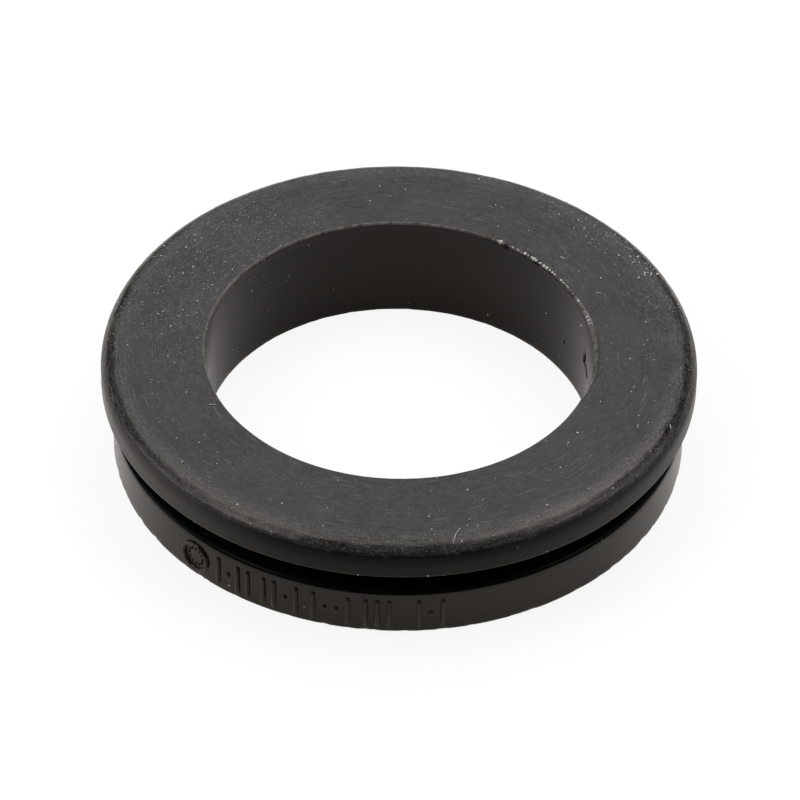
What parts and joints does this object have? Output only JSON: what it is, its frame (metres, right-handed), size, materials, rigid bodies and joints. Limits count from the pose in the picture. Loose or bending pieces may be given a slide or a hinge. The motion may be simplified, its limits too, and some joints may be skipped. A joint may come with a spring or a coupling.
{
  "type": "sealing ring",
  "caption": "Moulded rubber sealing ring with a plain round bore, a foot flange, a grooved rim and a wider flat-faced sealing lip.",
  "frame": {"origin": "centre of the foot face, on the bore's axis, at the surface that the ring stands on", "axes": "+Z along the bore's axis, from the foot towards the sealing face; the ring is the same all round, so +X and +Y are free"},
  "size_m": [0.034, 0.034, 0.0067],
  "materials": {
    "rubber": "matt black moulded rubber with a finely ground top face"
  },
  "bodies": {
    "root": {"sealing_ring": "rubber"}
  },
  "joints": []
}
